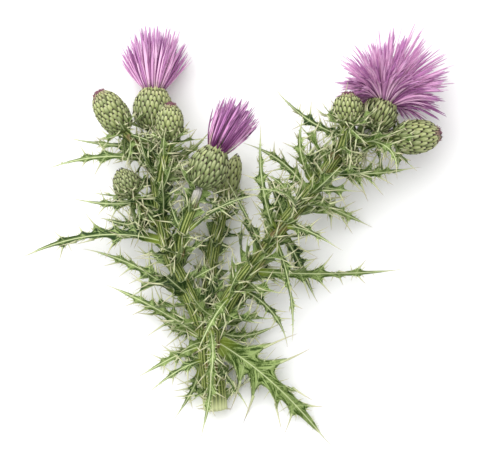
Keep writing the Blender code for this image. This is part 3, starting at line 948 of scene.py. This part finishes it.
def stem_paint(stem, leaf):
    """Stem green with pale ribs and darker furrows, blotched with red-brown, woolly under a head and cream
    at the cut end. The flush mark says what is the stem itself. All else on it, the wings and small leaves,
    is leaf green."""
    paint = Paint("thistle_stem", 0.5, 0.15)
    vein, height, under, body = (paint.mark(n) for n in ("vein", "height", "under", "flush"))
    patches, fine = paint.noise(330, 4.0), paint.noise(1500, 3.0)
    ribbed = vein + (fine - 0.5) * 0.9 + (patches - 0.5) * 0.8
    stalk = paint.lay(stem.furrow_green, stem.rib_green, ribbed, 0.2, 0.95)
    stalk = paint.lay(stalk, stem.stem_blush, paint.noise(90, 2.0), 0.56, 0.66, 0.55)
    stalk = paint.lay(stalk, stem.stem_wool, under + (fine - 0.5) * 0.5, 0.15, 0.6, 0.8)
    stalk = paint.lay(stalk, stem.cut_cream, height, 0.12, 0.8, 0.85)
    blade, _ = blade_colour(paint, leaf, patches, fine)
    return paint.finish(paint.mix(body, blade, stalk), None, fine * 0.6 + vein * 0.6, 0.35)


def scale_paint(scale):
    """Scale green: a pale keel with a painted highlight towards its point, painted shade on its sides, round
    its outline, at its base and on its under face, painted shade in the gaps and on the lower scales of a
    cup or bud, a dark point, and where the flush mark rises a purple brown and where it falls a cream."""
    paint = Paint("thistle_scale", 0.5, 0.2)
    edge, along, spine = (paint.mark(n) for n in ("edge", "along", "spine"))
    tint, flush, under, height = (paint.mark(n) for n in ("tint", "flush", "under", "height"))
    fine, patches = paint.noise(1800, 3.0), paint.noise(300, 2.0)
    keel = paint.lay(scale.scale_sage, scale.scale_lime, tint, -1.2, 1.2)
    # painted highlight: pale green on the keel towards the point
    keel = paint.lay(keel, scale.scale_highlight, along + (fine - 0.5) * 0.6, 0.5, 0.8, 0.5)
    # painted shade: the sides are darker than the raised keel, blotched by noise
    sides = paint.lay(scale.scale_gap_shade, scale.scale_shaded_side, patches + (fine - 0.5) * 0.5, 0.25, 0.55)
    colour = paint.lay(keel, sides, edge + (fine - 0.5) * 0.6, 0.35, 1.1)
    # painted shade round each scale's outline
    colour = paint.lay(colour, scale.scale_gap_shade, edge, 0.86, 1.0, 0.6)
    # painted shade: darker towards the base of each scale, where the scales overlap
    colour = paint.lay(colour, scale.scale_gap_shade, along, 0.60, 0.30, 0.55)
    # painted shade: the lower scales of a cup or bud are darker
    colour = paint.lay(colour, scale.scale_shaded_side, height, 0.55, 0.0, 0.45)
    # painted shade on the under faces of the scales and on the body between them
    colour = paint.mix(under, colour, scale.scale_gap_shade)
    colour = paint.lay(colour, scale.scale_flush, flush, 0.1, 1.0, 0.85)
    colour = paint.lay(colour, scale.scale_cream, 0 - flush, 0.1, 1.0, paint.rise(along, 0.5, 0.8) * 0.7)
    colour = paint.lay(colour, scale.scale_point, spine, 0.2, 0.6)
    return paint.finish(colour, None, fine + (1 - edge) * 0.5)


def floret_paint(floret):
    """Floret pink: lilac pink with a painted highlight as a pale streak down the middle of a floret and
    painted shade in purple at its sides, painted shade in plum on the darkest florets, a cream foot darkened
    to plum as painted shade, and a greyed mauve point."""
    paint = Paint("thistle_floret", 0.5, 0.25)
    along, tint, spine, side, rank = (paint.mark(n) for n in ("along", "tint", "spine", "across", "edge"))
    fine = paint.noise(700, 2.0)
    body = paint.lay(floret.floret_purple, floret.floret_pink, tint, -0.9, 0.5)
    # painted shade: the darkest florets turn plum
    body = paint.lay(body, floret.floret_shade_plum, tint, -0.75, -1.1, 0.8)
    # painted highlight: a pale streak down a floret's faces, on the lighter florets
    body = paint.lay(body, floret.floret_highlight_pink, side, 0.8, 0.15, paint.rise(tint, -0.5, 0.6) * 0.8)
    # painted shade: purple at a floret's edges
    body = paint.lay(body, floret.floret_purple, side, 0.75, 1.0, 0.7)
    # the foot is cream, darkened to plum as painted shade, more on the outer florets of a wide brush
    foot = paint.lay(floret.floret_shade_plum, floret.floret_foot, tint + (fine - 0.5) - rank * 0.6, -0.5, 0.6)
    colour = paint.lay(foot, body, along + (fine - 0.5) * 0.2 + rank * 0.16 - 0.1, 0.08, 0.40)
    colour = paint.lay(colour, floret.floret_tip, along, 0.80, 1.0, 0.6)
    colour = paint.mix(spine * 0.35, colour, floret.floret_purple)
    return paint.finish(colour, None, fine, 0.15)


# Settings


def colour_property(name, description, default):
    """A colour as linear red, green and blue."""
    return FloatVectorProperty(
        name=name, description=description, subtype="COLOR", size=3, min=0, max=1, default=default
    )


def length_property(name, description, default, low=0.0, high=0.1):
    """A length in metres."""
    return FloatProperty(
        name=name, description=description, unit="LENGTH", min=low, max=high, default=default
    )


def share_property(name, description, default, low, high):
    """A share of another size."""
    return FloatProperty(
        name=name, description=description, subtype="FACTOR", min=low, max=high, default=default
    )


class StemSettings(bpy.types.PropertyGroup):
    """Sizes and colours of the stems and their wings."""

    rib_depth: share_property("Rib depth", "Height of a rib as a share of the stem's radius", 0.07, 0, 0.3)
    wing_reach: length_property("Wing teeth", "How far the teeth of a wing stand out", 0.0048)
    wing_spacing: length_property("Tooth spacing", "Distance from tooth to tooth along a wing", 0.0086)
    wing_spine: length_property("Wing spines", "Length of a tooth's spine", 0.0088)
    furrow_green: colour_property("Furrow", "Green between the ribs", (0.055, 0.09, 0.012))
    rib_green: colour_property("Rib", "Green of the ribs", (0.33, 0.38, 0.12))
    stem_blush: colour_property("Blush", "Red-brown of old patches", (0.22, 0.12, 0.07))
    stem_wool: colour_property("Wool", "Lilac grey wool under a flower head", (0.50, 0.47, 0.46))
    cut_cream: colour_property("Cut end", "Pale inside of the stem", (0.72, 0.76, 0.42))


class LeafSettings(bpy.types.PropertyGroup):
    """Sizes and colours of the leaves and spines."""

    waist: share_property("Waist", "Blade between the lobes, as a share of the packed leaf's", 1.15, 0.3, 2)
    lobe_reach: share_property("Lobe reach", "Reach of the lobes, as a share of the packed", 0.95, 0.3, 2)
    fold: FloatProperty(
        name="Fold", description="Angle by which a blade's halves rise",
        subtype="ANGLE", min=0, max=1.2, default=0.32,
    )
    spine_share: share_property("Spine growth", "How much a spine grows with its lobe's reach", 0.6, 0, 2)
    # the deep greens are also laid on leaves as painted shade on under faces and wing roots
    leaf_blue: colour_property("Deep blue green", "Leaf green at its coldest", (0.009, 0.032, 0.003))
    leaf_warm: colour_property("Deep warm green", "Leaf green at its warmest", (0.026, 0.060, 0.001))
    leaf_pale: colour_property("Pale green", "Sage green beside the veins", (0.28, 0.37, 0.125))
    leaf_sap: colour_property("Sap green", "Yellow green where a leaf joins its stem", (0.30, 0.38, 0.05))
    vein_cream: colour_property("Vein", "Pale midrib, veins and margin", (0.62, 0.69, 0.38))
    spine_straw: colour_property("Spine", "Straw of the spines", (0.62, 0.60, 0.39))
    spine_point: colour_property("Spine point", "Rosy brown of the spines' points", (0.36, 0.23, 0.17))


class ScaleSettings(bpy.types.PropertyGroup):
    """Colours of the scales on cups and buds."""

    scale_lime: colour_property("Lime keel", "Brightest keel of a scale", (0.36, 0.40, 0.155))
    scale_sage: colour_property("Sage keel", "Dullest keel of a scale", (0.20, 0.235, 0.10))
    # painted highlight on the keel towards a scale's point
    scale_highlight: colour_property("Bright", "Pale green near a scale's point", (0.60, 0.62, 0.36))
    # painted shade on the sides of a scale and on the lower scales
    scale_shaded_side: colour_property("Scale side", "Sides of a scale", (0.11, 0.155, 0.05))
    # painted shade in the gaps, round the outlines, at the bases and on the under faces of the scales
    scale_gap_shade: colour_property("Gap", "Green in the gaps between scales", (0.026, 0.04, 0.006))
    scale_flush: colour_property("Flush", "Purple brown at the top of a bud", (0.23, 0.055, 0.13))
    scale_cream: colour_property("Cream", "Cream of the scales at a cup's mouth", (0.62, 0.58, 0.33))
    scale_point: colour_property("Scale point", "Dark point of a scale", (0.035, 0.022, 0.015))


class FloretSettings(bpy.types.PropertyGroup):
    """Numbers, sizes and colours of the florets."""

    floret_count: IntProperty(
        name="Florets", description="Florets in a plain head", min=20, max=600, default=200
    )
    thread_count: IntProperty(
        name="Threads", description="Threads that part from each floret", min=0, max=6, default=1
    )
    floret_width: length_property("Floret width", "Width of a floret's ribbon", 0.0010)
    splay: length_property("Splay", "How far a floret's threads part at their points", 0.0014)
    # painted highlight down the faces of a floret
    floret_highlight_pink: colour_property("Pale streak", "Palest pink, down a floret's middle", (0.92, 0.75, 0.87))
    floret_pink: colour_property("Pink", "Lilac pink", (0.80, 0.43, 0.68))
    # the florets' own purple, also laid on a floret's edges as painted shade
    floret_purple: colour_property("Purple", "Middle purple", (0.46, 0.18, 0.42))
    # painted shade on the darkest florets and at the feet
    floret_shade_plum: colour_property("Plum", "Dark plum of the shaded florets", (0.11, 0.02, 0.09))
    floret_foot: colour_property("Foot", "Pale foot of a floret", (0.62, 0.50, 0.40))
    floret_tip: colour_property("Tip", "Greyed mauve point of a floret", (0.40, 0.20, 0.40))


class StageSettings(bpy.types.PropertyGroup):
    """The table, the light and the camera."""

    lens: FloatProperty(name="Lens", description="Focal length in millimetres", min=20, max=300, default=200)
    view_width: length_property("View width", "Width of the view at the spray's middle", 0.2064, 0.01, 2)
    table_white: colour_property("Table", "White of the table", (0.97, 0.97, 0.97))
    lamp_size: length_property("Lamp size", "Width of the large soft lamp", 1.3, 0.05, 5)
    key_power: FloatProperty(
        name="Key light", description="Power of the large soft lamp in watts", min=0, max=500, default=13.2
    )
    sky_strength: FloatProperty(
        name="Sky light", description="Strength of the even white light all round", min=0, max=5, default=0.65
    )


GROUPS = {
    "thistle_stem": StemSettings,
    "thistle_leaf": LeafSettings,
    "thistle_scale": ScaleSettings,
    "thistle_floret": FloretSettings,
    "thistle_stage": StageSettings,
}


# Operators


class ThistleStage(bpy.types.Operator):
    """Lay the white table, hang the soft lamp and point the camera straight down"""

    bl_idname = "thistle.stage"
    bl_label = "Stage"

    # Metres: the side of the table, where the lamp hangs, and how far right of and above the spray's middle
    # the camera stands.
    TABLE_SIDE = 8
    LAMP_PLACE = (-0.30, 0.34, 0.85)
    CAMERA_SHIFT = (0.0006, 0.0013)

    def execute(self, context):
        settings = context.scene.thistle_stage
        table = bpy.data.meshes.new("table")
        half = self.TABLE_SIDE / 2
        corners = [(-half, -half, 0), (half, -half, 0), (half, half, 0), (-half, half, 0)]
        table.from_pydata(corners, [], [(0, 1, 2, 3)])
        paint = Paint("table_white", 0.9, 0.0)
        grain = paint.noise(60, 2.0)
        tone = tuple(0.985 * c for c in settings.table_white)
        table.materials.append(paint.finish(paint.mix(grain, tone, settings.table_white)))
        table = bpy.data.objects.new("table", table)
        context.scene.collection.objects.link(table)
        low, high = PACKED_BOX
        middle = (low + high) / 2
        camera = bpy.data.cameras.new("camera")
        camera.lens = settings.lens
        camera.clip_start = 0.05
        camera = bpy.data.objects.new("camera", camera)
        distance = settings.view_width * settings.lens / camera.data.sensor_width
        right, above = self.CAMERA_SHIFT
        camera.location = (middle.x + right, middle.y + above, 0.45 * high.z + distance)
        context.scene.collection.objects.link(camera)
        context.scene.camera = camera
        lamp = bpy.data.lights.new("key", "AREA")
        lamp.shape = "DISK"
        lamp.size = settings.lamp_size
        lamp.energy = settings.key_power
        lamp = bpy.data.objects.new("key", lamp)
        lamp.location = self.LAMP_PLACE
        lamp.rotation_euler = (-lamp.location).to_track_quat("-Z", "Y").to_euler()
        context.scene.collection.objects.link(lamp)
        world = bpy.data.worlds.new("sky")
        world.use_nodes = True
        sky = world.node_tree.nodes["Background"]
        sky.inputs["Color"].default_value = (1, 1, 1, 1)
        sky.inputs["Strength"].default_value = settings.sky_strength
        context.scene.world = world
        context.scene.view_settings.view_transform = "Standard"
        return {"FINISHED"}


class ThistleStems(bpy.types.Operator):
    """Grow the ribbed stems and stalks with their spiny wings and small leaves"""

    bl_idname = "thistle.stems"
    bl_label = "Stems"

    # The stem's number of ribs, its wings, its small leaves and how long those are.
    PLAN = {
        "main_stem": (18, 2, 8, 15),
        "left_stem": (13, 4, 34, 16),
        "middle_stem": (11, 3, 10, 12),
        "back_stem": (12, 4, 18, 10),
        "right_stem": (13, 4, 46, 16),
    }

    # Every stalk is alike. Its teeth are given by their spacing, their reach and their spines' length.
    STALK_RIBS, STALK_WINGS, STALK_TEETH, STALK_LEAVES = 7, 3, (5.0, 1.6, 4.0), (9, 11)

    def execute(self, context):
        settings = context.scene.thistle_stem
        material = stem_paint(settings, context.scene.thistle_leaf)
        teeth = (settings.wing_spacing * MM, settings.wing_reach * MM, settings.wing_spine * MM)
        for number, (node, (ribs, wings, leaves, leaf_length)) in enumerate(self.PLAN.items()):
            rng = np.random.default_rng(SEEDS["stem"] + number)
            growth = Growth()
            cut, wool = node == "main_stem", float(node in CUPS.values())
            route = grow_stem(growth, node, 0 if cut else 3.5, 2.2, settings, rng, ribs, cut, wool)
            for k in range(wings):
                angle, twist = 2 * np.pi * k / wings + rng.uniform(-0.3, 0.3), rng.uniform(-0.7, 0.7)
                grow_wing(growth, *route, angle, twist, *teeth, rng, rng.uniform(-0.6, 1.0))
            self.add_small_leaves(growth, route, leaves, leaf_length, rng)
            growth.build(f"grown_{node}", material, [node])
        for number, node in enumerate(STALKS):
            rng = np.random.default_rng(SEEDS["stalk"] + number)
            growth = Growth()
            route = grow_stem(growth, node, 3.0, 2.0, settings, rng, self.STALK_RIBS)
            for k in range(self.STALK_WINGS):
                angle = 2 * np.pi * k / self.STALK_WINGS + rng.uniform(-0.3, 0.3)
                grow_wing(growth, *route, angle, 0.3, *self.STALK_TEETH, rng, rng.uniform(-0.6, 1.0))
            self.add_small_leaves(growth, route, *self.STALK_LEAVES, rng)
            growth.build(f"grown_{node}", material, [node])
        return {"FINISHED"}

    @staticmethod
    def add_small_leaves(growth, route, count, length, rng):
        """Small leaves up the stem, each about a golden angle further round it, none of them into the
        table."""
        centres, radii, travelled = route
        for k in range(count):
            where = (k + 0.5 + rng.uniform(-0.3, 0.3)) / count * 0.92 * travelled[-1]
            i = int(np.searchsorted(travelled, where).clip(1, len(centres) - 2))
            along = unit(centres[i + 1] - centres[i - 1])
            level, raised = across(along)
            angle = k * 2.4 + rng.uniform(-0.3, 0.3)
            outward = level * math.cos(angle) + raised * math.sin(angle)
            if outward[2] < -0.75 and centres[i][2] < length + 4:
                outward = unit(outward * [1, 1, 0] + level * 0.2)
            direction = unit(outward + along * rng.uniform(0.1, 0.9))
            facing = unit(along - direction * (along @ direction)) + 0.6 * UP
            size = length * rng.uniform(0.6, 1.25)
            tip = centres[i] + direction * (size + radii[i])
            if tip[2] < CLEARANCE:
                continue
            base = centres[i] + outward * radii[i] * 0.7
            sprig(growth, base, direction, facing, size, 0.33 * size, rng, rng.uniform(-1.8, 1.3))


class ThistleLeaves(bpy.types.Operator):
    """Grow every long lobed leaf over its packed blade"""

    bl_idname = "thistle.leaves"
    bl_label = "Leaves"

    def execute(self, context):
        settings = context.scene.thistle_leaf
        material = leaf_paint(settings)
        nodes = sorted(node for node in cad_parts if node.startswith("leaf_"))
        for number, node in enumerate(nodes):
            rng = np.random.default_rng(SEEDS["leaf"] + number)
            growth = Growth()
            blade, length = packed_leaf(node, settings, rng)
            wide = blade.reaches.max() > 9
            tint = rng.uniform(-1.6, 0.9) + 1.8 * wide
            margin_spines = int(length / (1.1 if wide else 3))
            blade.grow(growth, 22, tint, 3.2, settings.spine_share, margin_spines, start=-2.6 / length)
            growth.build(f"grown_{node}", material, [node])
        return {"FINISHED"}


class ThistleHeads(bpy.types.Operator):
    """Grow the scaly cups of the open heads and the closed buds"""

    bl_idname = "thistle.heads"
    bl_label = "Cups and buds"

    # A scale's length and width, how far its point stands off, the tint, the flush of the upper scales, how
    # much the solid is drawn in and how much more at its upper end, and the collar: how many small leaves
    # stand round the base and how long they are.
    PLAN = {
        "left_cup": (5.8, 2.5, 0.25, 0.1, -1.0, 0.5, 0.32, 7, 7),
        "middle_cup": (7.6, 2.4, 0.2, -0.6, -0.5, 0.6, 0.5, 0, 0),
        "right_cup": (8.4, 2.0, 1.2, 0.4, -0.8, 0.5, 0.35, 9, 12),
        "left_bud": (5.2, 2.4, 0.15, 0.3, 0.7, 0.8, -0.05, 8, 10),
        "front_bud": (5.0, 2.3, 0.15, 0.2, 0.6, 0.8, 0.0, 8, 9),
        "small_bud": (4.8, 1.8, 0.4, -0.8, 0.0, 0.8, 0.1, 9, 11),
        "back_bud": (8.0, 2.2, 0.0, 1.0, 0.0, 2.5, 0.3, 8, 9),
        "round_bud": (5.0, 2.2, 0.35, 0.6, 0.5, 0.8, -0.2, 11, 12),
        "long_bud": (6.8, 2.6, 0.2, 0.6, 0.8, 0.8, -0.1, 8, 12),
        "side_bud": (4.0, 1.7, 0.2, 0.2, 0.0, 0.8, 0.1, 5, 7),
    }
    FRINGE_COUNT, FRINGE_LENGTH = 140, 2.1

    def execute(self, context):
        settings = context.scene.thistle_scale
        material = scale_paint(settings)
        leaf = leaf_paint(context.scene.thistle_leaf)
        for number, (node, bearer) in enumerate([*CUPS.items(), *BUDS.items()]):
            rng = np.random.default_rng(SEEDS["head"] + number)
            length, width, spread, tint, flush, drawn_in, neck, leaves, leaf_length = self.PLAN[node]
            cup = node in CUPS
            rings = tube_rings(bearer)[0]
            near = rings[np.linalg.norm(rings - welded(node)[0].mean(axis=0), axis=1).argmin()]
            shell = Shell(*turned_rings(node, near), drawn_in, neck, 0.35 if cup else 0.8)
            growth = Growth()
            grow_core(growth, shell, flush)
            top, mouth = (1.0, 0.4) if cup else (0.96, 0.0)
            grow_scales(growth, shell, length, width, spread, rng, top, tint, flush, mouth)
            if flush > 0:
                grow_fringe(growth, shell, self.FRINGE_COUNT, self.FRINGE_LENGTH, rng)
            piece = growth.build(f"grown_{node}", material, [node])
            if leaves:
                growth = Growth()
                grow_collar(growth, shell, leaves, leaf_length, 0.28 * leaf_length, rng, rng.uniform(-0.2, 1))
                self.join(context, piece, growth, leaf)
        return {"FINISHED"}

    @staticmethod
    def join(context, piece, growth, material):
        """Joins a collar of leaves, with its own material, to the cup or bud that it stands round."""
        collar = growth.mesh(f"{piece.name}_collar", material)
        collar = bpy.data.objects.new(collar.name, collar)
        context.scene.collection.objects.link(collar)
        with context.temp_override(active_object=piece, selected_editable_objects=[piece, collar]):
            bpy.ops.object.join()


class ThistleFlorets(bpy.types.Operator):
    """Grow the brush of florets of each open head"""

    bl_idname = "thistle.florets"
    bl_label = "Florets"

    # How far the outer florets lean in radians, the share of the full count, the shift of colour, how much
    # the points curl back to the axis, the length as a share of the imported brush's, the tilt of the whole,
    # how much longer one side is, and how far the florets rise together before they part.
    PLAN = {
        "left_florets": (1.06, 1.35, 0.05, 0.55, 1.06, 0.0, 0.0, 0.5),
        "middle_florets": (0.72, 0.85, -0.7, 0.8, 0.96, 0.08, 0.0, 0.6),
        "right_florets": (1.92, 2.6, 0.35, -0.12, 1.02, -0.40, 0.07, 2.2),
    }

    def execute(self, context):
        settings = context.scene.thistle_floret
        material = floret_paint(settings)
        for number, (node, bearer) in enumerate(BRUSHES.items()):
            rng = np.random.default_rng(SEEDS["brush"] + number)
            lean, share, *shape = self.PLAN[node]
            count = int(settings.floret_count * share)
            growth = Growth()
            grow_florets(growth, node, bearer, settings, count, rng, lean, *shape)
            growth.build(f"grown_{node}", material, [node])
        return {"FINISHED"}


class ThistlePanel(bpy.types.Panel):
    """Lists the parts of the spray and their settings"""

    bl_idname = "VIEW3D_PT_thistle"
    bl_label = "Thistle"
    bl_space_type = "VIEW_3D"
    bl_region_type = "UI"
    bl_category = "Thistle"

    def draw(self, context):
        layout = self.layout
        for operator in OPERATORS:
            layout.operator(operator.bl_idname)
        for name, group in GROUPS.items():
            box = layout.box()
            for setting in group.__annotations__:
                box.prop(getattr(context.scene, name), setting)


OPERATORS = (ThistleStage, ThistleStems, ThistleLeaves, ThistleHeads, ThistleFlorets)


def register():
    for made in (*GROUPS.values(), *OPERATORS, ThistlePanel):
        bpy.utils.register_class(made)
    for name, group in GROUPS.items():
        setattr(bpy.types.Scene, name, PointerProperty(type=group))


def unregister():
    for name in GROUPS:
        delattr(bpy.types.Scene, name)
    for made in reversed((*GROUPS.values(), *OPERATORS, ThistlePanel)):
        bpy.utils.unregister_class(made)


def main():
    register()
    bpy.ops.thistle.stage()
    bpy.ops.thistle.stems()
    bpy.ops.thistle.leaves()
    bpy.ops.thistle.heads()
    bpy.ops.thistle.florets()


if __name__ == "__main__":
    main()
